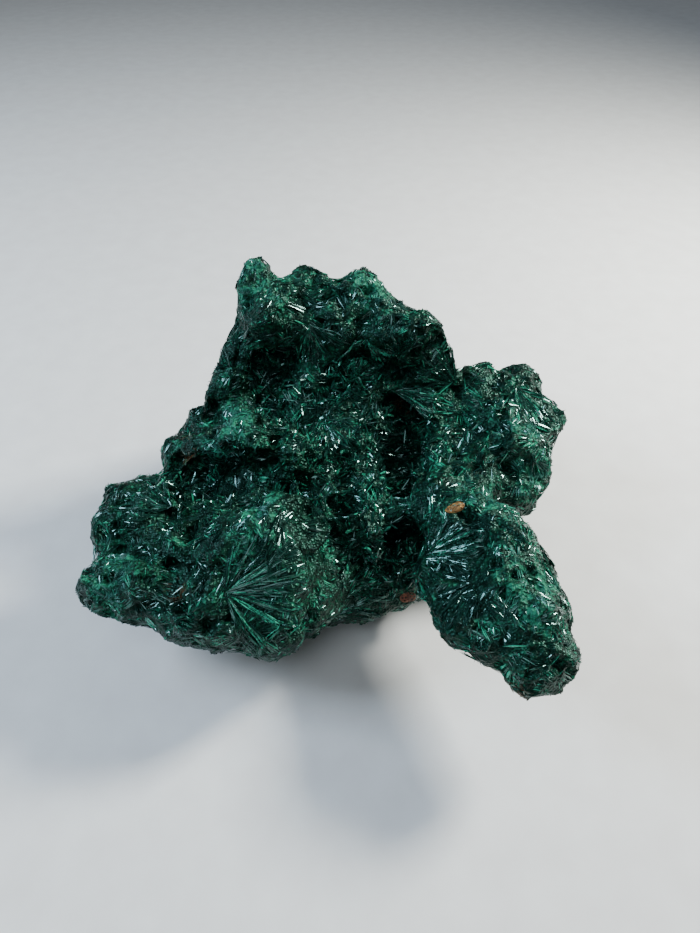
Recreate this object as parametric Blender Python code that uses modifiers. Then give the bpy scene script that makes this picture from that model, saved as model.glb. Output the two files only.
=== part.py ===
"""Fibrous malachite specimen: one grown mass of warty knobs, hollows and fans of radiating crystals, broken off flat
underneath, with two chips of brown iron ore lodged in its creases.

Metres, +Z up. The origin is in the middle of the flat break that the specimen rests on. -Y is its front.
"""

import math
import random

import bmesh
import bpy
from mathutils import Matrix, Vector
from mathutils.bvhtree import BVHTree

MM = 0.001

# Sizes and places are in millimetres from here on.
# The knobs of each limb: centre and radius.
LIMBS = {
    "core": [
        ((0, 0, 8), 12),
        ((1, -7, 11), 11.5),
        ((-3, 6, 13), 12),
        ((8, 6, 9), 10),
        ((-8, 14, 20), 11),
        ((3, 16, 22), 9),
        ((-6, -20, 13), 6.5),
        ((8, -16.5, 8.5), 5.5),
        ((1, -19, 8.5), 5.6),
        ((-5.5, -20, 8.5), 5.6),
        ((13.5, 14.5, 24), 5.5),
    ],
    "crown": [
        ((-6, 22, 29), 9.5),
        ((-13.7, 19.5, 38.5), 6.8),
        ((-3, 20.5, 36.5), 7.0),
        ((2.2, 23, 40.5), 5.0),
        ((-8, 23.5, 41), 4.6),
        ((6.5, 19, 36), 6.0),
        ((12, 16, 36), 5.4),
        ((13.3, 17.5, 32.5), 4.8),
        ((-16.6, 23.6, 45.4), 2.7),
        ((-18.3, 21, 43.6), 2.3),
        ((-18.5, 16, 32), 5.2),
        ((-21.5, 12, 30), 3.8),
        ((-24, 9.8, 29), 2.2),
    ],
    "back_foot": [
        ((-8, 27, 10), 9.5),
        ((4, 26, 12), 8.5),
        ((-2, 29, 20), 8.5),
    ],
    "left_shoulder": [
        ((-17, 1, 20), 8),
        ((-24.5, 1.5, 21.5), 5.6),
        ((-30, 3, 20), 4.4),
        ((-26, 8, 22.5), 4.6),
        ((-19, 9, 23), 5.5),
        ((-17.5, 0, 26), 5.2),
        ((-10.5, -0.5, 22), 5.5),
        ((-22, 4, 9), 9.5),
        ((-26.5, -5, 12), 6.0),
        ((-30, -2, 17.5), 3.8),
    ],
    "left_lobe": [
        ((-14.5, -22, 19.5), 10.0),
        ((-10, -17.5, 23), 6.5),
        ((-20, -27.6, 17.0), 7.0),
        ((-12.5, -28, 14.4), 6.6),
        ((-8, -23.5, 14.6), 6.2),
        ((-23, -18, 19), 7.0),
        ((-30, -13.5, 20), 6.5),
        ((-36.6, -10.8, 20.6), 4.8),
        ((-38.2, -14.8, 20.0), 4.6),
        ((-32, -19, 16.5), 4.6),
        ((-33, -7.5, 20), 4.4),
        ((-31, -24, 17), 6.2),
        ((-37.8, -23.8, 17), 4.9),
        ((-25.5, -28.6, 16.6), 4.8),
        ((-18, -10, 14), 8.0),
    ],
    "right_lobe": [
        ((19, 10, 16), 10),
        ((27, 6, 20), 8.5),
        ((24, 17.3, 23.5), 5.2),
        ((31.5, 16.5, 24), 5.2),
        ((35.3, 9, 21.5), 5.0),
        ((31, 3, 17), 7),
        ((29.2, -3, 16.5), 4.9),
        ((25, 6, 8), 9.5),
        ((20, -3, 18), 7.5),
    ],
    "front_limb": [
        ((16, -9, 19), 6.8),
        ((19, -17, 21.5), 7.2),
        ((23, -22, 22.5), 6.8),
        ((15.5, -22.5, 19), 5.6),
        ((22, -28, 21.5), 7.2),
        ((16.2, -30, 19.5), 4.6),
        ((15.9, -33, 20.3), 3.3),
        ((19.6, -35.2, 20.2), 3.6),
        ((25, -33, 20.5), 6.4),
        ((25.4, -38, 18.6), 4.7),
        ((28.3, -37.3, 19), 4.6),
        ((28.2, -30, 20.6), 4.5),
    ],
}
WARTS_PER_KNOB = 16
WART_SHARE = (0.2, 0.4)  # of its knob's radius
WART_SINK = (0.25, 0.75)  # of its own radius

# Hollows between the limbs: centre and radius.
HOLLOWS = [
    ((-15.5, 13.2, 33), 2.9),
    ((-11.7, 13.8, 33.5), 2.9),
    ((-15, 9, 29), 3.0),
    ((-8.2, 17.2, 43.6), 2.4),
    ((-5.6, 16.2, 42.6), 2.0),
    ((-26.5, -4.5, 22), 3.6),
    ((-20.5, -6.5, 24), 4.0),
    ((-15.5, -6.5, 25), 3.6),
    ((-27.5, -12.5, 26), 3.8),
    ((-23.5, -15.5, 25.5), 3.0),
    ((10.5, 12.5, 22.5), 4.2),
    ((8, 10.5, 24.5), 2.8),
    ((12.5, 9, 21.5), 3.0),
    ((9.5, 4, 19.5), 5.0),
    ((9.5, -4, 17.5), 4.8),
    ((9.5, -11, 15), 4.6),
    ((-0.5, -3, 23.5), 3.8),
    ((-0.5, -10, 20), 3.4),
    ((-25, -19, 24.5), 2.6),
]

# Broken faces that show crystals side by side, as spokes of a fan: the point they radiate from, the way the fan's
# middle runs, the way the face looks, its spread in degrees, the crystals' reach, and how many there are.
FANS = {
    "left_dome": ((-18.4, -29.0, 22.8), (1, 0.15, 0.1), (0.1, -0.6, 0.8), 130, 10.5, 10),
    "left_dome_side": ((-10.4, -17.4, 28.6), (0.15, -0.9, -0.35), (0.7, -0.2, 0.7), 50, 10.0, 5),
    "left_nub": ((-28.5, -14.5, 25.0), (-0.9, 0.5, 0.05), (0.1, -0.3, 0.95), 110, 6.5, 7),
    "right_lobe": ((30.5, 12.8, 28.0), (0.6, -0.7, -0.3), (0.3, -0.4, 0.9), 80, 8.5, 7),
    "crown_edge": ((20.0, 14.2, 27.0), (-0.75, 0.1, 0.65), (0.1, -0.9, 0.4), 70, 8.5, 6),
    "crown_scoop": ((9.0, 12.0, 33.5), (0.1, 0.2, 1.0), (-0.1, -0.9, 0.35), 130, 6.5, 7),
    "rosette": ((-4.8, 5.2, 26.8), (1, -0.4, -0.3), (0.15, -0.5, 0.85), 170, 6.0, 8),
    "limb_upper": ((11.6, -22.0, 23.4), (0.97, 0.1, 0.25), (-0.35, -0.35, 0.85), 85, 7.5, 6),
    "limb_lower": ((17.6, -28.4, 25.6), (-0.7, -0.5, -0.6), (-0.65, -0.12, 0.75), 100, 7.5, 7),
    "middle": ((18.0, 6.5, 25.0), (-0.6, -0.7, -0.35), (-0.45, -0.15, 0.9), 60, 8.0, 6),
    "crown_back": ((-6.0, 28.5, 38.5), (0, 0.25, -1), (0, 1, 0.25), 110, 9.0, 7),
    "back": ((-2.0, 37.0, 24.0), (0.2, 0.1, -1), (0, 1, 0.1), 120, 10.0, 8),
    "left_side": ((-31.0, 4.0, 14.0), (0, -0.2, -1), (-1, 0, 0.1), 110, 8.5, 7),
    "right_side": ((34.4, 4.5, 16.0), (0, -0.1, -1), (1, -0.1, 0.1), 110, 8.5, 7),
    "limb_side": ((30.2, -18.5, 22.5), (0.25, -0.9, -0.2), (1, 0.25, 0.25), 80, 7.0, 5),
}
# The same for crystals that lie on the mass, with no broken face under them.
LYING_FANS = {
    "under_dome": ((-5.0, -21.8, 12.5), (1, 0.0, -0.02), (0.2, -0.75, 0.6), 50, 12.0, 5),
    "middle_ridge": ((8.0, 13.5, 27.0), (1, -0.5, -0.2), (-0.1, -0.6, 0.8), 50, 9.0, 4),
}
SCOOP_RADIUS = 1.5  # of the fan's reach
SCOOP_DEPTH = 0.1
FAN_HUB = 0.13  # where the crystals start
FAN_RISE = 0.13  # how far a crystal's tip stands off the skin, and its root goes under it
FAN_OVERLAP = 1.3
FAN_BLADE_HEIGHT = 0.8  # over its width

# Tufts of crystals standing up in the middle: a place near the surface, how long and how many.
TUFTS = [
    ((0, 12.5, 29.5), 4.4, 8),
    ((11, 7, 17), 3.6, 4),
    ((1.0, -1.5, 20.5), 4.0, 5),
    ((-5.5, -8.5, 25), 3.8, 5),
    ((4.5, -16.5, 15.5), 4.2, 6),
    ((14, -3, 20), 4.0, 5),
    ((-27.7, -9.5, 25), 4.2, 5),
    ((4.5, 7.5, 24.5), 4.0, 5),
    ((-12, 4, 26), 3.6, 5),
    ((22, -4, 25), 3.5, 5),
    ((8.5, 0, 16), 3.8, 5),
    ((-15, 11, 27), 3.6, 4),
    ((27, 8, 28), 3.0, 4),
]
TUFT_SPREAD = 0.8
TUFT_WIDTH = (1.0, 1.9)

# Chips of iron ore: a place near the surface and the chip's length, width and thickness.
CHIPS = {
    "iron_ore_chip_upper": ((16.1, -16.9, 28.1), (3.4, 2.0, 1.2)),
    "iron_ore_chip_lower": ((9.6, -21.2, 10.6), (2.9, 2.2, 1.3)),
}
CHIP_LIFT = 0.25  # of its thickness
CHIP_GAP = 0.3

SKIN_STEP = 0.95  # side of the remeshed skin's squares
SKIN_KEPT = 0.0612
GROUND = 200.0

MALACHITE = ((0.011, 0.07, 0.043), 0.35)
IRON_ORE = ((0.27, 0.09, 0.03), 0.8)


def object_of(mesh, name, collection):
    data = bpy.data.meshes.new(name)
    mesh.to_mesh(data)
    mesh.free()
    made = bpy.data.objects.new(name, data)
    collection.objects.link(made)
    return made


def helper_of(mesh, name, collection):
    made = object_of(mesh, name, collection)
    made.hide_render = True
    made.display_type = "WIRE"
    return made


def material(name, colour, roughness):
    made = bpy.data.materials.new(name)
    made.use_nodes = True
    surface = made.node_tree.nodes["Principled BSDF"]
    surface.inputs["Base Color"].default_value = (*colour, 1)
    surface.inputs["Roughness"].default_value = roughness
    return made


def on_sphere(draw):
    height = draw.uniform(-1, 1)
    turn = draw.uniform(0, 2 * math.pi)
    flat = math.sqrt(1 - height * height)
    return Vector((flat * math.cos(turn), flat * math.sin(turn), height))


def ball(mesh, centre, radius, steps=3):
    place = Matrix.Translation(Vector(centre) * MM)
    bmesh.ops.create_icosphere(mesh, subdivisions=steps, radius=radius * MM, matrix=place)


def axes(along, up):
    """A turn that takes +Z to along and +X towards up."""
    z = Vector(along).normalized()
    y = z.cross(Vector(up)).normalized()
    x = y.cross(z)
    return Matrix((x, y, z)).transposed().to_4x4()


# ---- the grown mass ----


def add_knob(mesh, centre, radius, draw):
    """One knob with warts on it. It is made on its own first, because a small mesh grows faster."""
    knob = bmesh.new()
    ball(knob, centre, radius)
    for _ in range(WARTS_PER_KNOB):
        wart = radius * draw.uniform(*WART_SHARE)
        reach = radius - wart * draw.uniform(*WART_SINK)
        ball(knob, Vector(centre) + on_sphere(draw) * reach, wart, 2)
    data = bpy.data.meshes.new("knob")
    knob.to_mesh(data)
    knob.free()
    mesh.from_mesh(data)
    bpy.data.meshes.remove(data)


def knobs_mesh(draw):
    mesh = bmesh.new()
    for knobs in LIMBS.values():
        for centre, radius in knobs:
            add_knob(mesh, centre, radius, draw)
    return mesh


def hollows_mesh(draw):
    """The hollows between the limbs, and the shallow scoops that leave the fans' broken faces."""
    mesh = bmesh.new()
    for centre, radius in HOLLOWS:
        add_knob(mesh, centre, radius, draw)
    for apex, middle, face, _, reach, _ in FANS.values():
        radius = reach * SCOOP_RADIUS
        out = Vector(face).normalized() * (radius - reach * SCOOP_DEPTH)
        ball(mesh, Vector(apex) + Vector(middle).normalized() * reach * 0.5 + out, radius, 4)
    return mesh


def remesh(obj, name):
    skin = obj.modifiers.new(name, "REMESH")
    skin.mode = "VOXEL"
    skin.voxel_size = SKIN_STEP * MM


def boolean(obj, name, operation, other):
    made = obj.modifiers.new(name, "BOOLEAN")
    made.operation = operation
    made.object = other
    made.use_self = operation == "UNION"


# ---- crystals ----


def add_crystal(mesh, root, along, face, length, narrow, wide, height):
    """A four-sided crystal with a pointed end, from its narrow root to its wide end. Height is over width."""
    place = Matrix.Translation(Vector(root) * MM) @ axes(along, face) @ Matrix.Diagonal((height, 1, 1, 1))
    made = bmesh.ops.create_cone(
        mesh,
        cap_ends=True,
        segments=4,
        radius1=narrow / 2 * MM,
        radius2=wide / 2 * MM,
        depth=length * MM,
        matrix=place @ Matrix.Translation((0, 0, length / 2 * MM)),
    )
    faces = {face for vertex in made["verts"] for face in vertex.link_faces}
    end = max(faces, key=lambda face: face.calc_center_median().dot(along))
    bmesh.ops.poke(mesh, faces=[end], offset=wide * 0.7 * MM)


def nearest(tree, place):
    """The nearest point of the skin, and the way it faces, in millimetres."""
    point, normal, _, _ = tree.find_nearest(Vector(place) * MM)
    return point / MM, normal


def add_fan(mesh, tree, fan, draw):
    """Crystals side by side, that run away from one point and lie on the skin."""
    apex, middle, face, spread, reach, count = fan
    face = Vector(face).normalized()
    middle = Vector(middle)
    middle = (middle - face * middle.dot(face)).normalized()
    step = math.radians(spread) / count
    for i in range(count):
        turn = Matrix.Rotation(step * (i + draw.uniform(0.35, 0.65) - count / 2), 3, face)
        hub = reach * FAN_HUB
        end = reach * draw.uniform(0.78, 1.0)
        root, facing = nearest(tree, Vector(apex) + turn @ middle * hub)
        root -= facing * FAN_RISE
        tip, facing = nearest(tree, Vector(apex) + turn @ middle * end)
        tip += facing * FAN_RISE
        along = tip - root
        narrow, wide = (step * reach * FAN_OVERLAP for reach in (hub, end))
        add_crystal(mesh, root, along.normalized(), facing, along.length, narrow, wide, FAN_BLADE_HEIGHT)


def add_tuft(mesh, place, outwards, length, count, draw):
    for _ in range(count):
        along = (outwards + on_sphere(draw) * TUFT_SPREAD).normalized()
        width = draw.uniform(*TUFT_WIDTH)
        reach = length * draw.uniform(0.8, 1.2)
        add_crystal(mesh, place - outwards, along, on_sphere(draw), reach, width * 0.6, width, 0.6)


def crystals_mesh(tree, draw):
    mesh = bmesh.new()
    for fan in (*FANS.values(), *LYING_FANS.values()):
        add_fan(mesh, tree, fan, draw)
    for place, length, count in TUFTS:
        point, outwards = nearest(tree, place)
        add_tuft(mesh, point, outwards, length, count, draw)
    return mesh


# ---- chips ----


def chip_mesh(tree, place, sizes, gap, draw):
    """A flat flake, sunk in the skin by less than half. A gap above zero makes its pocket."""
    point, outwards = nearest(tree, place)
    point += outwards * sizes[2] * CHIP_LIFT
    mesh = bmesh.new()
    bmesh.ops.create_icosphere(mesh, subdivisions=2, radius=0.5)
    for vertex in mesh.verts:
        vertex.co *= draw.uniform(0.85, 1.1)
    length, width, thick = (size + 2 * gap for size in sizes)
    across = Vector((1, 0, 0)).cross(outwards)
    turned = axes(outwards, across) @ Matrix.Diagonal((width * MM, length * MM, thick * MM, 1))
    mesh.transform(Matrix.Translation(point * MM) @ turned)
    return mesh


def settle(obj):
    """Turns the modifiers into plain mesh, and leaves out voids that the crystals have closed off."""
    evaluated = obj.evaluated_get(bpy.context.evaluated_depsgraph_get())
    mesh = bmesh.new()
    mesh.from_mesh(evaluated.data)
    obj.modifiers.clear()
    left = set(mesh.verts)
    islands = []
    while left:
        island = {left.pop()}
        edge = list(island)
        while edge:
            near = {other for link in edge.pop().link_edges for other in link.verts}
            fresh = near - island
            island |= fresh
            edge.extend(fresh)
        left -= island
        islands.append(island)
    islands.sort(key=len)
    for island in islands[:-1]:
        bmesh.ops.delete(mesh, geom=list(island), context="VERTS")
    bmesh.ops.triangulate(mesh, faces=mesh.faces)
    mesh.to_mesh(obj.data)
    mesh.free()


def main():
    for obj in list(bpy.data.objects):
        bpy.data.objects.remove(obj)
    draw = random.Random(7)
    parts = bpy.data.collections.new("malachite specimen")
    cutters = bpy.data.collections.new("cutters")
    bpy.context.scene.collection.children.link(parts)
    bpy.context.scene.collection.children.link(cutters)

    body = object_of(knobs_mesh(draw), "malachite", parts)
    body.data.materials.append(material("malachite", *MALACHITE))
    hollows = helper_of(hollows_mesh(draw), "hollows", cutters)
    remesh(hollows, "one skin")
    remesh(body, "one skin")
    boolean(body, "hollows", "DIFFERENCE", hollows)
    remesh(body, "even skin")
    fewer = body.modifiers.new("fewer faces", "DECIMATE")
    fewer.ratio = SKIN_KEPT

    skin = BVHTree.FromObject(body, bpy.context.evaluated_depsgraph_get())
    crystals = helper_of(crystals_mesh(skin, draw), "crystals", cutters)
    boolean(body, "crystals", "UNION", crystals)

    ground = bmesh.new()
    below = Matrix.Translation((0, 0, -GROUND / 2 * MM))
    bmesh.ops.create_cube(ground, size=GROUND * MM, matrix=below)
    boolean(body, "flat break", "DIFFERENCE", helper_of(ground, "ground", cutters))
    settle(body)

    iron = material("iron ore", *IRON_ORE)
    for name, (place, sizes) in CHIPS.items():
        seed = draw.random()
        chip = object_of(chip_mesh(skin, place, sizes, 0, random.Random(seed)), name, parts)
        chip.data.materials.append(iron)
        pocket = chip_mesh(skin, place, sizes, CHIP_GAP, random.Random(seed))
        boolean(body, "pocket of " + name, "DIFFERENCE", helper_of(pocket, name + "_pocket", cutters))


main()
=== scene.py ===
"""Looks of the malachite specimen: a mass of green fibres grown as one piece.

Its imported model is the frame. The mass is a finer copy of the solid, set back a little. Over it grow thin
four-sided crystals: large fans on the broken faces, small fans and bundles of fibres all over, a jumble of
needles in the hollow middle and a short pile on the weathered knobs. Two chips of iron ore sit in it.
"""

import math

import bmesh
import bpy
import numpy as np
from mathutils import Matrix, Vector, noise
from mathutils.bvhtree import BVHTree

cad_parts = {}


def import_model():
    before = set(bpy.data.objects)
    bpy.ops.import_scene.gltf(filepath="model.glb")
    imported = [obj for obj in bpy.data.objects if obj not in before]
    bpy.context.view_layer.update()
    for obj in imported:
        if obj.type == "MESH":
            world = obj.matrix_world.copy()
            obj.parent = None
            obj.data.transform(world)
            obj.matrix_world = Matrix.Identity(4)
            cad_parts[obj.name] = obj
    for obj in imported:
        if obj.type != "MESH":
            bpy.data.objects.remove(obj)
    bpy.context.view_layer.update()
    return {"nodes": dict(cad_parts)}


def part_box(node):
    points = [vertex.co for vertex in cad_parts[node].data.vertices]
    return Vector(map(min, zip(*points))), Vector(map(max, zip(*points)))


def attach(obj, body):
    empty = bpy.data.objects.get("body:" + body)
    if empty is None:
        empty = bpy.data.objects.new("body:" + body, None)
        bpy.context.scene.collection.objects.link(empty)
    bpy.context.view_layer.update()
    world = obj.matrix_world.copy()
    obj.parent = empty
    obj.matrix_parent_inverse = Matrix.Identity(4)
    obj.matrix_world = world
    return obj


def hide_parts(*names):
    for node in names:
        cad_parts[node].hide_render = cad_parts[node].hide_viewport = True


MM = 0.001
draw = np.random.default_rng(11)

# Sizes and places are in millimetres from here on.

# The mass under the crystals, and the pits in it.
SET_BACK = 0.25
MASS_GRAIN = 0.52  # side of the remeshed squares
PIT_SIZE = 2.6
PIT_DEPTH = 3.2
PIT_FROM = 0.14  # of the noise, which runs from -1 to 1
LUMP_SIZE = 1.0
LUMP_DEPTH = 0.35
LUMP_SHIFT = Vector((9, 9, 9))  # so that the lumps' noise isn't the pits'
BRIDGE = 0.75  # how far a crystal's middle may be off the skin
PATCH_SIZE = 2.2  # of the weathering

# Lumps that close the gaps by the limb and beside the crown: the middle and the radius.
FILLING = [((13, -11, 11), 3.6), ((14.5, -14, 13), 3.0), ((12, -16, 11), 2.8), ((18.5, 16.5, 27), 2.6)]

SPOT_CORE = 1.4  # over 1, so that a spot is at full strength for some way round its middle

# The middle of each hollow where needles grow across each other, and how far it reaches.
JUMBLES = [
    ((2, 0, 21), 13),
    ((9, 6, 18), 11),
    ((-10, 6, 26), 8),
    ((-24, -8, 23), 8),
    ((17, 5, 23), 8),
    ((4, -16, 15), 9),
    ((0, 13, 29), 8),
    ((-14, 13, 31), 6),
]

# Knobs whose skin has weathered to a pale pile: the middle and how far it reaches.
WEATHERED = [
    ((-13, -20, 29), 7),
    ((-14, 21, 43), 7),
    ((-20, -1, 28), 6),
    ((25, -13, 28), 9),
    ((27, -30, 26), 8),
    ((-36, -24, 20), 7),
    ((-20, 4, 27), 5),
    ((3, 22, 42), 7),
    ((30, 6, 27), 6),
    ((33, -2, 20), 6),
    ((-6, 30, 30), 12),
    ((34, 8, 14), 10),
]

# The chips of iron ore: the middle, and how far round it no crystal grows.
CHIPS = [((16.1, -16.9, 28.3), 2.0), ((9.9, -21.4, 10.4), 1.9)]

# Painted shade: where the fibres are darkened to black-green, in the hollows and on faces turned from the
# light; the middle and how far it reaches.
SHADE_SPOTS = [
    ((-8.5, -20, 26), 6.5),
    ((15.5, -29, 23.5), 6.5),
    ((-26, -14, 24), 4),
    ((9, 4, 20), 6),
    ((-19, -6, 23), 5),
    ((-14, 13, 32), 3),
    ((-22, -28, 20), 3),
    ((6, -13, 16), 4),
]

# Painted highlight: where the fibres are lifted to the lightest, on the tuft and other places where the
# light catches them.
HIGHLIGHT_SPOTS = [((0, 12.6, 30.6), 4.2), ((-14, -22, 25), 4), ((23, -17, 28), 4)]

# Spots stained brown by iron: the middle and how far each reaches.
STAINS = [
    ((-25.7, -27.4, 21.4), 2.2),
    ((10.5, 15.8, 21.5), 2.4),
    ((24, -41, 17), 3.0),
    ((-29, 0, 24.6), 3.4),
    ((29, -19, 26), 2.0),
    ((9, -20, 16), 2.2),
    ((-8, 36, 12), 5.0),
]

# Fans on broken faces: the point they radiate from, the way the fan's middle runs, the way the face looks,
# its spread in degrees, its reach, how many fibres it has and its shade from 0, black-green, to 1, teal. The
# tuft's shade near 1 is a painted highlight, and the near-black shades of left_dome_side and limb_lower are
# painted shade.
FANS = {
    "left_dome": ((-18.4, -29.0, 22.8), (1, 0.15, 0.1), (0.1, -0.6, 0.8), 160, 14.0, 1600, 0.62),
    "left_dome_side": ((-10.4, -17.4, 28.6), (0.15, -0.9, -0.35), (0.95, -0.25, 0.15), 60, 10.5, 500, 0.12),
    "left_nub": ((-28.5, -14.5, 25.0), (-0.9, 0.5, 0.05), (0.1, -0.3, 0.95), 130, 7.0, 540, 0.45),
    "right_lobe": ((30.5, 12.8, 28.0), (0.6, -0.7, -0.3), (0.3, -0.4, 0.9), 100, 9.5, 540, 0.55),
    "crown_edge": ((20.0, 14.2, 27.0), (-0.75, 0.1, 0.65), (0.1, -0.9, 0.4), 90, 8.8, 480, 0.5),
    "crown_scoop": ((9.0, 12.0, 33.5), (0.1, 0.2, 1.0), (-0.1, -0.9, 0.35), 150, 7.0, 570, 0.35),
    "rosette": ((-4.8, 5.2, 26.8), (1, -0.4, -0.3), (0.15, -0.5, 0.85), 200, 6.5, 540, 0.55),
    "limb_upper": ((11.6, -22.0, 23.4), (0.97, 0.1, 0.25), (-0.35, -0.35, 0.85), 105, 8.5, 570, 0.62),
    "limb_lower": ((17.6, -28.4, 25.6), (-0.7, -0.5, -0.6), (-0.8, 0.3, 0.6), 120, 8.5, 630, 0.1),
    "under_dome": ((-5.0, -21.8, 12.5), (1, 0.0, -0.02), (0.2, -0.75, 0.6), 60, 12.0, 570, 0.4),
    "middle_ridge": ((8.0, 13.5, 27.0), (1, -0.5, -0.2), (-0.1, -0.6, 0.8), 60, 9.5, 330, 0.45),
    "middle": ((18.0, 6.5, 25.0), (-0.6, -0.7, -0.35), (-0.45, -0.15, 0.9), 80, 8.5, 390, 0.35),
    "tuft": ((0.6, 12.6, 30.2), (-0.6, 0.5, 0.3), (-0.1, -0.5, 0.85), 230, 4.8, 500, 0.95),
    "crown_front": ((-7.0, 14.8, 40.0), (0.1, -0.3, -1), (0, -1, 0.2), 130, 8.0, 420, 0.6),
    "crown_middle": ((2.5, 14.0, 37.5), (0.1, -0.2, -1), (0.1, -0.95, 0.3), 110, 7.0, 330, 0.65),
    "comb": ((17.5, 9.5, 19.5), (-0.35, -0.85, -0.3), (-0.5, -0.5, 0.7), 40, 9.0, 240, 0.8),
    "middle_shelf": ((12.0, 12.0, 25.5), (1, -0.1, 0.0), (-0.4, -0.6, 0.7), 30, 8.0, 200, 0.8),
    "nub_blades": ((-27.4, -11.0, 24.5), (0.1, -1, -0.1), (0.4, -0.3, 0.9), 18, 6.0, 80, 0.9),
    "crown_back": ((-6.0, 28.5, 38.5), (0, 0.25, -1), (0, 1, 0.25), 130, 9.5, 570, 0.5),
    "back": ((-2.0, 37.0, 24.0), (0.2, 0.1, -1), (0, 1, 0.1), 140, 10.5, 660, 0.5),
    "left_side": ((-31.0, 4.0, 14.0), (0, -0.2, -1), (-1, 0, 0.1), 130, 9.0, 570, 0.45),
    "right_side": ((34.4, 4.5, 16.0), (0, -0.1, -1), (1, -0.1, 0.1), 130, 9.0, 570, 0.5),
    "limb_side": ((30.2, -18.5, 22.5), (0.25, -0.9, -0.2), (1, 0.25, 0.25), 100, 7.5, 420, 0.45),
}
FAN_BLADE_WIDTH = (0.12, 0.3)
FAN_BLADE_WIDE = (0.04, 2.2)  # the share of wide ones, and how many times wider they are
FAN_BUNDLES = 26  # a fan's fibres share their shade and tilt with their bundle
FAN_MIDDLE = 0.58  # radius of a fan's calm ground, of its reach
OFF_FANS = 0.75  # share of the small growth that is left out there

SMALL_FANS = 620
SMALL_FAN_REACH = (2.6, 6.0)
SMALL_FAN_BLADES = 24
SMALL_FAN_BLADE_WIDTH = (0.14, 0.34)

BUNDLES = 6200
BUNDLE_LENGTH = (1.5, 4.6)
BUNDLE_WIDTH = (0.7, 1.9)
BUNDLE_FIBRES = 9
FIBRE_WIDTH = (0.12, 0.3)
FIBRE_WIDE = (0.05, 2.0)

NEEDLES = 3600
NEEDLE_LENGTH = (1.6, 4.2)
NEEDLE_WIDTH = (0.25, 0.6)
NEEDLE_SUNK = 0.4  # how deep a needle is rooted

GRAINS = 18000
GRAIN_LENGTH = (0.8, 1.8)
GRAIN_WIDTH = (0.14, 0.3)

# How thick each kind of crystal is, over its width.
FLAT = 0.5
FLATTISH = 0.6
SQUAT = 0.7

# How pale the tips are where nothing has weathered: a painted shade, darker at each crystal's root than at
# its tip.
FAN_ROOT_SHADE = 0.2
FIBRE_ROOT_SHADE = 0.15
GRAIN_ROOT_SHADE = 0.3

SHADE_DARKENING = 0.82  # of the tint, in the spots of painted shade
HIGHLIGHT_LIGHTENING = 0.45  # of the way to the lightest, in the spots of painted highlight
EDGE = 0.35  # how far crystals keep inside the solid's box
SHORTEST = 0.3
TINT, PALE = 11, 12  # the columns of a crystal's row that hold its tint and how pale its tip is

# Where a crystal has four corners along its length, and how wide it is there.
BLADE_RINGS = ((0.2, 0.75), (0.85, 1.0))
FIBRE_RINGS = ((0.6, 1.0),)
MOST_FACES = 190000  # a piece
CELL_GAP = 0.07  # round each face or crystal in its cell of the UV map, of the cell

# The chips' fine skin.
CHIP_GRAIN = 0.8
CHIP_DEPTH = 0.25

# The studio. Each light: its place, its size, its power in watts and its colour.
AIM = (0, 0, 15)
LIGHTS = {
    "key": ((190, 90, 180), 60, 1.95, "#f6faf6"),
    "window": ((-310, 0, 260), 150, 2.15, "#c9dff8"),
    "ceiling": ((-60, -190, 340), 200, 0.45, "#dfeaf8"),
}
AIR = ("#dfe6ee", 0.14)  # the light from all round, and how strong it is
FLOOR = 1500  # from its middle to its edge

# The camera looks down at half a right angle, from close by.
CAMERA_PLACE = (0, -88.4, 108.4)
CAMERA_PITCH = 45
HALF_VIEW = 33.65  # half the picture's taller angle, in degrees
SENSOR = 36
NEAREST = 5


def linear(hex_colour):
    """An sRGB hex colour as linear red, green, blue and alpha."""
    parts = [int(hex_colour[i : i + 2], 16) / 255 for i in (1, 3, 5)]
    return [c / 12.92 if c <= 0.04045 else ((c + 0.055) / 1.055) ** 2.4 for c in parts] + [1.0]


def add_node(tree, kind, inputs=None, **settings):
    """Adds a node. Each input is a value or another node's output."""
    node = tree.nodes.new(kind)
    for name, value in settings.items():
        setattr(node, name, value)
    for name, value in (inputs or {}).items():
        if isinstance(value, bpy.types.NodeSocket):
            tree.links.new(value, node.inputs[name])
        else:
            node.inputs[name].default_value = value
    return node


def new_material(name):
    material = bpy.data.materials.new(name)
    material.use_nodes = True
    return material, material.node_tree, material.node_tree.nodes["Principled BSDF"]


def ramp(tree, factor, *stops):
    """A colour ramp from (place, sRGB hex) stops."""
    node = add_node(tree, "ShaderNodeValToRGB", {"Fac": factor})
    points = node.color_ramp.elements
    while len(points) < len(stops):
        points.new(0.5)
    for point, (place, colour) in zip(points, stops):
        point.position = place
        point.color = linear(colour)
    return node.outputs["Color"]


# ---- finishes ----


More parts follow.
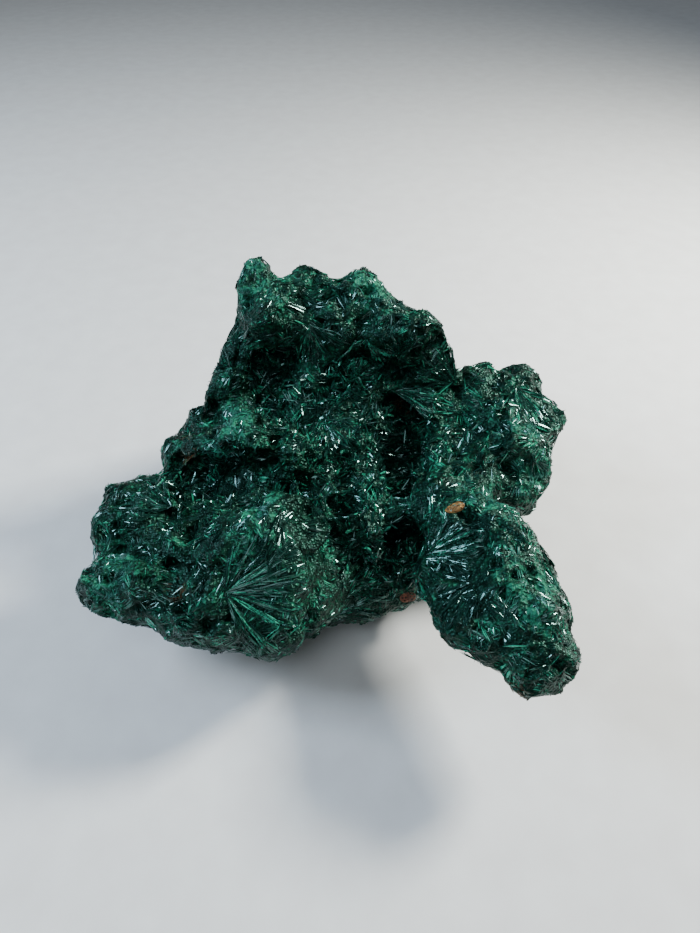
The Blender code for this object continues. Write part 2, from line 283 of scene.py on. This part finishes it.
def malachite_fibres():
    """Fibrous malachite: silky crystals with flat sides that glint, from black-green to teal. Weathered
    tips turn pale and dull, every root is kept darker than its tip as a painted shade, and iron stains some
    brown."""
    material, tree, surface = new_material("malachite_fibres")
    tint = add_node(tree, "ShaderNodeAttribute", attribute_name="tint").outputs["Fac"]
    along = add_node(tree, "ShaderNodeAttribute", attribute_name="along").outputs["Fac"]
    pale = add_node(tree, "ShaderNodeAttribute", attribute_name="pale").outputs["Fac"]
    iron = add_node(tree, "ShaderNodeAttribute", attribute_name="iron").outputs["Fac"]
    place = add_node(tree, "ShaderNodeTexCoord").outputs["Object"]
    grain = add_node(tree, "ShaderNodeTexNoise", {"Vector": place, "Scale": 1 / (0.32 * MM), "Detail": 2.0})
    shades = {"Factor": 0.48, "A": tint, "B": grain.outputs["Fac"]}
    shade = add_node(tree, "ShaderNodeMix", shades, data_type="FLOAT").outputs["Result"]
    green = ramp(tree, shade, (0.34, "#000201"), (0.49, "#02130c"), (0.63, "#073826"), (0.77, "#2f9c78"))
    # Painted shade: each crystal is mixed towards the pale colour from root to tip, so its root stays
    # darker; where weathered, the pale is real wear.
    tip = add_node(tree, "ShaderNodeMath", {0: pale, 1: along}, operation="MULTIPLY").outputs[0]
    wear_and_root_shade = {"Factor": tip, "A": green, "B": linear("#35786a")}
    worn_and_root_shaded = add_node(tree, "ShaderNodeMix", wear_and_root_shade, data_type="RGBA").outputs["Result"]
    stain = {"Factor": iron, "A": worn_and_root_shaded, "B": linear("#5a2f18")}
    stained = add_node(tree, "ShaderNodeMix", stain, data_type="RGBA")
    tree.links.new(stained.outputs["Result"], surface.inputs["Base Color"])
    rough = add_node(tree, "ShaderNodeMapRange", {"Value": tip, "To Min": 0.07, "To Max": 0.6})
    tree.links.new(rough.outputs["Result"], surface.inputs["Roughness"])
    surface.inputs["IOR"].default_value = 1.8
    surface.inputs["Specular Tint"].default_value = linear("#b0e2d6")
    return material


def malachite_mass():
    """The crust that the crystals stand in: tiny grains of the same green, each its own shade, dull between
    the crystals' glints."""
    material, tree, surface = new_material("malachite_mass")
    place = add_node(tree, "ShaderNodeTexCoord").outputs["Object"]
    patches = add_node(tree, "ShaderNodeTexNoise", {"Vector": place, "Scale": 1 / (3 * MM), "Detail": 3.0})
    grains = add_node(tree, "ShaderNodeTexVoronoi", {"Vector": place, "Scale": 1 / (0.42 * MM)})
    shade = add_node(tree, "ShaderNodeSeparateColor", {"Color": grains.outputs["Color"]})
    mottled = {0: shade.outputs["Red"], 1: 0.4, 2: patches.outputs["Fac"]}
    mottle = add_node(tree, "ShaderNodeMath", mottled, operation="MULTIPLY_ADD").outputs[0]
    pale = add_node(tree, "ShaderNodeAttribute", attribute_name="pale").outputs["Fac"]
    weathered = add_node(tree, "ShaderNodeMath", {0: pale, 1: 0.3, 2: mottle}, operation="MULTIPLY_ADD")
    stops = (0.5, "#000201"), (0.75, "#02150c"), (0.92, "#083524"), (1.0, "#1e654c")
    green = ramp(tree, weathered.outputs[0], *stops)
    rough = add_node(tree, "ShaderNodeMapRange", {"Value": pale, "To Min": 0.4, "To Max": 0.65})
    tree.links.new(rough.outputs["Result"], surface.inputs["Roughness"])
    rise = {"Height": grains.outputs["Distance"], "Strength": 0.9, "Distance": 0.2 * MM}
    bump = add_node(tree, "ShaderNodeBump", rise)
    tree.links.new(green, surface.inputs["Base Color"])
    tree.links.new(bump.outputs["Normal"], surface.inputs["Normal"])
    surface.inputs["Specular IOR Level"].default_value = 0.45
    surface.inputs["Specular Tint"].default_value = linear("#78ccb2")
    return material


def iron_ore(name, deep, middle, light):
    """An earthy iron ore: dull, mottled and pitted. Limonite looks ochre and haematite dark red-brown."""
    material, tree, surface = new_material(name)
    place = add_node(tree, "ShaderNodeTexCoord").outputs["Object"]
    mottle = add_node(tree, "ShaderNodeTexNoise", {"Vector": place, "Scale": 1 / (0.8 * MM), "Detail": 5.0})
    brown = ramp(tree, mottle.outputs["Fac"], (0.3, deep), (0.5, middle), (0.72, light))
    rise = {"Height": mottle.outputs["Fac"], "Strength": 0.7, "Distance": 0.15 * MM}
    bump = add_node(tree, "ShaderNodeBump", rise)
    tree.links.new(brown, surface.inputs["Base Color"])
    tree.links.new(bump.outputs["Normal"], surface.inputs["Normal"])
    surface.inputs["Roughness"].default_value = 0.7
    return material


def paper():
    """Plain matte paper for a floor: nearly white, with hardly any cloudiness."""
    material, tree, surface = new_material("paper")
    place = add_node(tree, "ShaderNodeTexCoord").outputs["Object"]
    fibre = add_node(tree, "ShaderNodeTexNoise", {"Vector": place, "Scale": 1 / (6 * MM), "Detail": 6.0})
    white = ramp(tree, fibre.outputs["Fac"], (0.3, "#d3d0cb"), (0.7, "#dad8d3"))
    tree.links.new(white, surface.inputs["Base Color"])
    surface.inputs["Roughness"].default_value = 0.8
    return material


# ---- the mass ----


def apply_all(obj):
    """Turns the modifiers into plain mesh."""
    evaluated = obj.evaluated_get(bpy.context.evaluated_depsgraph_get())
    mesh = bpy.data.meshes.new_from_object(evaluated)
    obj.modifiers.clear()
    obj.data = mesh


def copy_of(node, name):
    obj = bpy.data.objects.new(name, node.data.copy())
    obj.matrix_world = node.matrix_world.copy()
    bpy.context.scene.collection.objects.link(obj)
    return obj


def fill_gaps(obj):
    mesh = bmesh.new()
    mesh.from_mesh(obj.data)
    for middle, radius in FILLING:
        place = Matrix.Translation(Vector(middle) * MM)
        bmesh.ops.create_icosphere(mesh, subdivisions=3, radius=radius * MM, matrix=place)
    mesh.to_mesh(obj.data)
    mesh.free()


def add_pits(mesh, places):
    """Pits everywhere but on the fans, and fine lumps."""
    pits = np.array([noise.noise(place / PIT_SIZE) for place in places])
    lumps = np.array([noise.noise(place / LUMP_SIZE + LUMP_SHIFT) for place in places])
    calm = 1 - spots(np.array(places), [middle_of(fan) for fan in FANS.values()])
    depth = PIT_DEPTH * np.maximum(pits - PIT_FROM, 0) * calm + LUMP_DEPTH * lumps * (0.4 + 0.6 * calm)
    normals = [vertex.normal.copy() for vertex in mesh.vertices]
    for vertex, normal, sunk in zip(mesh.vertices, normals, depth):
        vertex.co -= normal * sunk * MM
        vertex.co.z = max(vertex.co.z, 0.0)


def make_mass(solid):
    """The crystals' ground: a finer copy of the solid, set back a little, with pits."""
    mass = copy_of(solid, "malachite_mass")
    fill_gaps(mass)
    inward = mass.modifiers.new("set back", "DISPLACE")
    inward.strength = -SET_BACK * MM
    inward.mid_level = 0.0
    grain = mass.modifiers.new("grain", "REMESH")
    grain.mode = "VOXEL"
    grain.voxel_size = MASS_GRAIN * MM
    apply_all(mass)
    places = [vertex.co / MM for vertex in mass.data.vertices]
    add_pits(mass.data, places)
    pale = weathering(np.array(places))
    mass.data.attributes.new("pale", "FLOAT", "POINT").data.foreach_set("value", pale)
    sides = np.array([len(polygon.vertices) for polygon in mass.data.polygons])
    corner = np.concatenate([np.arange(count) for count in sides])
    square = np.array([(0, 0), (1, 0), (1, 1), (0, 1)])
    in_cells(mass.data, square[corner % 4], np.arange(len(sides)).repeat(sides))
    mass.data.materials.clear()
    mass.data.materials.append(malachite_mass())
    return mass


def roughen(obj, name, size, depth):
    texture = bpy.data.textures.new(name, "CLOUDS")
    texture.noise_scale = size * MM
    push = obj.modifiers.new(name, "DISPLACE")
    push.texture = texture
    push.texture_coords = "LOCAL"
    push.strength = depth * MM
    push.mid_level = 0.7


def make_chip(solid, finish):
    chip = copy_of(solid, solid.name + "_grain")
    finer = chip.modifiers.new("finer", "SUBSURF")
    finer.levels = finer.render_levels = 2
    roughen(chip, "pits", CHIP_GRAIN, CHIP_DEPTH)
    apply_all(chip)
    chip.data.materials.clear()
    chip.data.materials.append(finish)
    return chip


# ---- the crystals ----


def unit(vectors):
    return vectors / np.linalg.norm(vectors, axis=-1, keepdims=True)


def any_way(count):
    return unit(draw.normal(size=(count, 3)))


def across(along, count):
    """Random directions at right angles to along."""
    return unit(np.cross(along, any_way(count)))


def some_wide(count, share, wider):
    """How many times wider each of these crystals is: 1, or more for some of them."""
    return np.where(draw.random(count) < share, wider, 1.0)


def spots(places, list_of_spots):
    """How strongly each place lies in the nearest of some round spots, from 0 to 1."""
    share = np.zeros(len(places))
    for centre, reach in list_of_spots:
        far = np.linalg.norm(places - np.array(centre), axis=1) / reach
        share = np.maximum(share, np.clip(SPOT_CORE - SPOT_CORE * far * far, 0, 1))
    return share


def middle_of(fan):
    """The round spot that a fan covers: its centre and reach."""
    apex, way, _, _, reach, _, _ = fan
    return np.array(apex) + unit(np.array(way, float)) * reach / 2, reach * FAN_MIDDLE


def off_fans(places, facing):
    """Leaves out most of the places that lie on the fans."""
    on_fans = spots(places, [middle_of(fan) for fan in FANS.values()])
    keep = draw.random(len(places)) > OFF_FANS * on_fans
    return places[keep], facing[keep]


def weathering(places):
    """How far the skin has weathered at each place: patchy, and only on the knobs."""
    patches = np.array([noise.noise(Vector(place) / PATCH_SIZE) for place in places])
    return np.clip(spots(places, WEATHERED) * (0.55 + 1.6 * patches), 0, 1)


def in_cells(mesh, corners, cell):
    """A UV map for the bake: each of the mesh's corners lies in its square cell, 0 to 1 both ways in it."""
    wide = math.ceil(math.sqrt(cell.max() + 1))
    origin = np.column_stack([cell % wide, cell // wide])
    places = (origin + CELL_GAP + (1 - 2 * CELL_GAP) * corners) / wide
    mesh.uv_layers.new(name="OFBake").uv.foreach_set("vector", places.ravel())


class Skin:
    """Random places on the surface of the mass, in millimetres, with the way each faces."""

    def __init__(self, mass):
        mesh = mass.data
        mesh.calc_loop_triangles()
        corners = np.empty(len(mesh.vertices) * 3)
        mesh.vertices.foreach_get("co", corners)
        corners = corners.reshape(-1, 3) / MM
        faces = np.empty(len(mesh.loop_triangles) * 3, dtype=int)
        mesh.loop_triangles.foreach_get("vertices", faces)
        self.a, self.b, self.c = (corners[column] for column in faces.reshape(-1, 3).T)
        cross = np.cross(self.b - self.a, self.c - self.a)
        area = np.linalg.norm(cross, axis=1)
        self.normals = cross / np.maximum(area, 1e-12)[:, None]
        self.share = area / area.sum()
        self.tree = BVHTree.FromPolygons(corners.tolist(), faces.reshape(-1, 3).tolist())

    def places(self, count):
        face = draw.choice(len(self.share), count, p=self.share)
        u, v = draw.random((2, count))
        over = u + v > 1
        u[over], v[over] = 1 - u[over], 1 - v[over]
        a, b, c = self.a[face], self.b[face], self.c[face]
        return a + (b - a) * u[:, None] + (c - a) * v[:, None], self.normals[face]

    def settled(self, points, heights):
        """The points moved to stand at these heights over the skin."""
        found = [self.tree.find_nearest(point)[:2] for point in points.tolist()]
        place = np.array([point for point, _ in found])
        facing = np.array([normal for _, normal in found])
        return place + facing * heights[:, None]

    def lies(self, root, tip):
        """Whether the middle of each crystal is near the skin, so that none bridges a pit."""
        middle = (root + tip) / 2
        far = np.array([self.tree.find_nearest(point)[3] for point in middle.tolist()])
        return far < BRIDGE


class Crystals:
    """Crystals gathered as rows of numbers: root, tip, the way their broad side looks, width, thickness,
    tint and how pale their tips are."""

    def __init__(self):
        self.rows = []

    def add(self, root, tip, broad, width, thick, tint, pale, keep=None):
        count = len(root)
        values = (np.asarray(value, float) for value in (width, thick, tint, pale))
        columns = (np.broadcast_to(value, (count,)) for value in values)
        rows = np.column_stack([root, tip, broad, *columns])
        self.rows.append(rows if keep is None else rows[keep])

    def table(self):
        return np.vstack(self.rows)


def grow_fan(crystals, skin, fan):
    """Thin fibres side by side on a broken face. All run away from one point, each for a part of the way."""
    apex, middle, face, spread, reach, count, shade = fan
    face = unit(np.array(face, float))
    middle = np.array(middle, float)
    middle = unit(middle - face * middle.dot(face))
    side = np.cross(face, middle)
    bundle = draw.uniform(-0.5, 0.5, FAN_BUNDLES)
    bundle_shade = draw.normal(0, 0.16, FAN_BUNDLES)
    bundle_tilt = any_way(FAN_BUNDLES) * 0.45
    chosen = draw.integers(0, FAN_BUNDLES, count)
    stray = draw.normal(0, 0.35 / FAN_BUNDLES, count)
    turn = np.radians(spread) * np.clip(bundle[chosen] + stray, -0.5, 0.5)
    way = middle * np.cos(turn)[:, None] + side * np.sin(turn)[:, None]
    start = reach * draw.uniform(0.0, 0.85, count)
    length = reach * draw.uniform(0.1, 0.35, count)
    end = np.minimum(start + length, reach * draw.uniform(0.8, 1.0, count))
    lift = draw.uniform(-0.1, 0.35, FAN_BUNDLES)[chosen]
    root = skin.settled(np.array(apex) + way * start[:, None], lift + draw.uniform(-0.1, 0.1, count))
    tip = skin.settled(np.array(apex) + way * end[:, None], lift + draw.uniform(0.0, 0.25, count))
    width = draw.uniform(*FAN_BLADE_WIDTH, count) * (0.6 + 0.4 * end / reach)
    width *= some_wide(count, *FAN_BLADE_WIDE)
    broad = unit(face + bundle_tilt[chosen] + any_way(count) * 0.3)
    tint = np.clip(shade + bundle_shade[chosen] + draw.normal(0, 0.2, count), 0, 1)
    crystals.add(root, tip, broad, width, width * FLAT, tint, FAN_ROOT_SHADE, skin.lies(root, tip))


def grow_small_fans(crystals, skin, count):
    """Fans a few millimetres across, scattered over the mass. Each has its own shade and its own tilt, so
    that its fibres catch the light together."""
    places, facing = off_fans(*skin.places(count))
    count = len(places)
    middle = across(facing, count)
    side = np.cross(facing, middle)
    reach = draw.uniform(*SMALL_FAN_REACH, count)
    spread = draw.uniform(0.2, 0.8, count)
    tilt = unit(facing + any_way(count) * 0.6)
    shade = draw.beta(1.6, 1.8, count)
    rise = draw.uniform(-0.05, 0.25, count)
    for number in range(SMALL_FAN_BLADES):
        turn = spread * (2 * (number + draw.random(count)) / SMALL_FAN_BLADES - 1)
        way = middle * np.cos(turn)[:, None] + side * np.sin(turn)[:, None]
        start = reach * draw.uniform(0.02, 0.55, count)
        end = np.minimum(start + reach * draw.uniform(0.25, 0.6, count), reach)
        root = skin.settled(places + way * start[:, None], draw.uniform(-0.1, 0.1, count))
        tip = skin.settled(places + way * end[:, None], rise + draw.uniform(-0.05, 0.2, count))
        width = draw.uniform(*SMALL_FAN_BLADE_WIDTH, count)
        tint = np.clip(shade + draw.normal(0, 0.2, count), 0, 1)
        broad = unit(tilt + any_way(count) * 0.3)
        crystals.add(root, tip, broad, width, width * FLATTISH, tint, FAN_ROOT_SHADE, skin.lies(root, tip))


def grow_bundles(crystals, skin, count):
    """Bundles of fibres everywhere. They lie side by side on the skin and spread a little to their ends."""
    places, facing = off_fans(*skin.places(count))
    count = len(places)
    wild = spots(places, JUMBLES)
    weathered = weathering(places)
    middle = across(facing, count)
    side = np.cross(facing, middle)
    reach = draw.uniform(*BUNDLE_LENGTH, count) * (1 - 0.4 * weathered)
    half = draw.uniform(*BUNDLE_WIDTH, count) / 2
    spread = draw.uniform(0.0, 0.5, count)
    shade = draw.beta(1.5, 1.9, count)
    tilt = unit(facing + any_way(count) * 0.7)
    height = draw.uniform(-0.12, 0.08, count)
    rise = draw.uniform(-0.05, 0.2, count) + 0.9 * wild * draw.random(count)
    for number in range(BUNDLE_FIBRES):
        share = 2 * (number + draw.random(count)) / BUNDLE_FIBRES - 1
        way = unit(middle + side * (spread * share)[:, None])
        from_here = places + side * (half * share)[:, None]
        start = reach * draw.uniform(0, 0.25, count)
        end = reach * draw.uniform(0.7, 1.0, count)
        root = skin.settled(from_here + way * start[:, None], height - draw.uniform(0.0, 0.1, count))
        tip_height = height + rise + draw.uniform(-0.05, 0.1, count)
        tip = skin.settled(from_here + way * end[:, None], tip_height)
        width = draw.uniform(*FIBRE_WIDTH, count) * some_wide(count, *FIBRE_WIDE)
        tint = np.clip(shade + draw.normal(0, 0.18, count), 0, 1)
        broad = unit(tilt + any_way(count) * 0.25)
        pale = FIBRE_ROOT_SHADE + 0.7 * weathered
        crystals.add(root, tip, broad, width, width * FLATTISH, tint, pale, skin.lies(root, tip))


def grow_needles(crystals, skin, count):
    """The jumble in the hollow middle: single crystals that lean every way."""
    places, facing = skin.places(count * 6)
    wild = spots(places, JUMBLES)
    keep = draw.random(len(places)) < wild
    places, facing = places[keep][:count], facing[keep][:count]
    count = len(places)
    way = any_way(count)
    way -= facing * np.minimum(np.sum(way * facing, axis=1) - 0.15, 0)[:, None]
    way = unit(way)
    length = draw.uniform(*NEEDLE_LENGTH, count)
    root = places - facing * NEEDLE_SUNK - way * (length * 0.3)[:, None]
    width = draw.uniform(*NEEDLE_WIDTH, count)
    tint = draw.beta(2.2, 2.0, count)
    crystals.add(root, root + way * length[:, None], any_way(count), width, width * FLAT, tint, FIBRE_ROOT_SHADE)


def grow_grains(crystals, skin, count):
    """Short blunt crystals that stand every way where the skin has weathered, with dark pores between."""
    places, facing = skin.places(count * 3)
    weathered = weathering(places)
    keep = draw.random(len(places)) < 0.2 + 0.8 * weathered
    places, facing, weathered = (kind[keep][:count] for kind in (places, facing, weathered))
    count = len(places)
    way = any_way(count)
    way = unit(way - facing * (np.sum(way * facing, axis=1) * 0.7)[:, None])
    length = draw.uniform(*GRAIN_LENGTH, count)
    middle = places - facing * draw.uniform(-0.1, 0.15, count)[:, None]
    width = draw.uniform(*GRAIN_WIDTH, count)
    half = way * (length / 2)[:, None]
    tint = draw.beta(2.4, 1.8, count)
    pale = GRAIN_ROOT_SHADE + 0.6 * weathered
    crystals.add(middle - half, middle + half, any_way(count), width, width * SQUAT, tint, pale)


def crystal_points(rows, rings):
    """The corners of each row's crystal: its root, then four at each ring, then its tip."""
    root, tip, broad = rows[:, 0:3], rows[:, 3:6], rows[:, 6:9]
    width, thick = rows[:, 9], rows[:, 10]
    along = unit(tip - root)
    side = np.cross(along, broad)
    weak = np.linalg.norm(side, axis=1) < 0.05
    side[weak] = np.cross(along[weak], broad[weak][:, [1, 2, 0]] + 0.3)
    side = unit(side)
    up = np.cross(side, along)
    corners = [root]
    for share, wide in rings:
        middle = root + (tip - root) * share
        for way, half in ((side, width), (up, thick), (-side, width), (-up, thick)):
            corners.append(middle + way * (half * wide / 2)[:, None])
    corners.append(tip)
    return np.stack(corners, axis=1).reshape(-1, 3)


def crystal_pattern(rings):
    """One crystal's faces by the numbers of their corners, and each face's corners on its unrolled sides."""
    last = 1 + 4 * len(rings)
    shares = [share for share, _ in rings]
    faces, unrolled = [], []
    for i in range(4):
        near, after = 1 + i, 1 + (i + 1) % 4
        left, right = i / 4, (i + 1) / 4
        point = (left + right) / 2
        faces += [(0, after, near), (last, last - 5 + near, last - 5 + after)]
        unrolled += [(point, 0), (right, shares[0]), (left, shares[0])]
        unrolled += [(point, 1), (left, shares[-1]), (right, shares[-1])]
        for ring, (low, high) in enumerate(zip(shares, shares[1:])):
            a, b = near + 4 * ring, after + 4 * ring
            faces += [(a, b, b + 4), (a, b + 4, a + 4)]
            unrolled += [(left, low), (right, low), (right, high), (left, low), (right, high), (left, high)]
    return np.array(faces), np.array(unrolled)


def crystal_mesh(name, rows, rings):
    """One closed crystal for each row: a pointed root, rings of four corners and a pointed tip."""
    tint, pale = rows[:, TINT], rows[:, PALE]
    count = len(rows)
    points = crystal_points(rows, rings)
    pattern, unrolled = crystal_pattern(rings)
    each = len(points) // count
    faces = (pattern[None] + each * np.arange(count)[:, None, None]).reshape(-1, 3)
    mesh = bpy.data.meshes.new(name)
    mesh.from_pydata((points * MM).tolist(), [], faces.tolist())
    in_cells(mesh, np.tile(unrolled, (count, 1)), np.arange(count).repeat(len(unrolled)))
    along_it = [0] + [share for share, _ in rings for _ in range(4)] + [1]
    values = {
        "tint": tint.repeat(each),
        "along": np.tile(along_it, count),
        "pale": pale.repeat(each),
        "iron": spots(points, STAINS) * draw.uniform(0.3, 1.0, count).repeat(each),
    }
    for attribute, numbers in values.items():
        mesh.attributes.new(attribute, "FLOAT", "POINT").data.foreach_set("value", numbers)
    return mesh


def inside(rows, low, high):
    """Draws crystals that reach past the solid's box back to it."""
    for start in (0, 3):
        rows[:, start : start + 3] = np.clip(rows[:, start : start + 3], low + EDGE, high - EDGE)
    return rows[np.linalg.norm(rows[:, 3:6] - rows[:, 0:3], axis=1) > SHORTEST]


def off_chips(rows):
    """Leaves out crystals that would cover a chip of iron ore."""
    covered = spots(rows[:, 0:3], CHIPS) + spots(rows[:, 3:6], CHIPS)
    return rows[covered < 0.1]


def pieces_of(name, crystals, rings, box, finish):
    """Objects of these crystals, each with no more than MOST_FACES faces."""
    rows = off_chips(inside(crystals.table(), *box))
    # Painted shade: the tint is darkened in the shade spots.
    rows[:, TINT] *= 1 - SHADE_DARKENING * spots(rows[:, 3:6], SHADE_SPOTS)
    # Painted highlight: the tint is lifted in the highlight spots.
    rows[:, TINT] += HIGHLIGHT_LIGHTENING * spots(rows[:, 3:6], HIGHLIGHT_SPOTS) * (1 - rows[:, TINT])
    rows = rows[np.argsort(rows[:, 0], kind="stable")]
    pieces = math.ceil(len(rows) * 8 * len(rings) / MOST_FACES)
    made = []
    for number, part in enumerate(np.array_split(rows, pieces)):
        obj_name = f"{name}_{number + 1}"
        obj = bpy.data.objects.new(obj_name, crystal_mesh(obj_name, part, rings))
        obj.data.materials.append(finish)
        bpy.context.scene.collection.objects.link(obj)
        made.append(obj)
    return made


def grow_crystals(mass, box):
    skin = Skin(mass)
    blades = Crystals()
    grow_needles(blades, skin, NEEDLES)
    fibres = Crystals()
    for fan in FANS.values():
        grow_fan(fibres, skin, fan)
    grow_small_fans(fibres, skin, SMALL_FANS)
    grow_bundles(fibres, skin, BUNDLES)
    grow_grains(fibres, skin, GRAINS)
    finish = malachite_fibres()
    made = pieces_of("blades", blades, BLADE_RINGS, box, finish)
    return made + pieces_of("fibres", fibres, FIBRE_RINGS, box, finish)


# ---- the studio ----


def look_at(obj, target):
    obj.rotation_euler = (Vector(target) * MM - obj.location).to_track_quat("-Z", "Y").to_euler()


def area_light(name, place, size, watts, colour):
    data = bpy.data.lights.new(name, "AREA")
    data.size = size * MM
    data.energy = watts
    data.color = linear(colour)[:3]
    light = bpy.data.objects.new(name, data)
    light.location = Vector(place) * MM
    look_at(light, AIM)
    bpy.context.scene.collection.objects.link(light)


def lay_floor():
    mesh = bmesh.new()
    bmesh.ops.create_grid(mesh, x_segments=1, y_segments=1, size=FLOOR * MM)
    data = bpy.data.meshes.new("floor")
    mesh.to_mesh(data)
    mesh.free()
    floor = bpy.data.objects.new("floor", data)
    floor.data.materials.append(paper())
    bpy.context.scene.collection.objects.link(floor)


def light_studio():
    world = bpy.data.worlds.new("studio")
    bpy.context.scene.world = world
    world.use_nodes = True
    colour, strength = AIR
    air = world.node_tree.nodes["Background"]
    air.inputs["Color"].default_value = linear(colour)
    air.inputs["Strength"].default_value = strength
    for name, (place, size, watts, light_colour) in LIGHTS.items():
        area_light(name, place, size, watts, light_colour)


def set_camera():
    data = bpy.data.cameras.new("camera")
    data.sensor_width = SENSOR
    data.lens = SENSOR / 2 / math.tan(math.radians(HALF_VIEW))
    data.clip_start = NEAREST * MM
    camera = bpy.data.objects.new("camera", data)
    camera.location = Vector(CAMERA_PLACE) * MM
    camera.rotation_euler = (math.radians(CAMERA_PITCH), 0, 0)
    bpy.context.scene.collection.objects.link(camera)
    bpy.context.scene.camera = camera


def main():
    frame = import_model()
    nodes = frame["nodes"]
    solid = nodes["malachite"]
    box = [np.array(corner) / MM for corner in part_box("malachite")]

    mass = make_mass(solid)
    crystals = grow_crystals(mass, box)
    for piece in (mass, *crystals):
        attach(piece, "root")
        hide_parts("malachite")
    ores = {
        "iron_ore_chip_upper": iron_ore("limonite", "#4a3012", "#8a5f2a", "#b98f4e"),
        "iron_ore_chip_lower": iron_ore("haematite", "#2c130a", "#693621", "#8f5636"),
    }
    for name, ore in ores.items():
        chip = make_chip(nodes[name], ore)
        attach(chip, "root")
        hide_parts(name)

    lay_floor()
    light_studio()
    set_camera()


main()
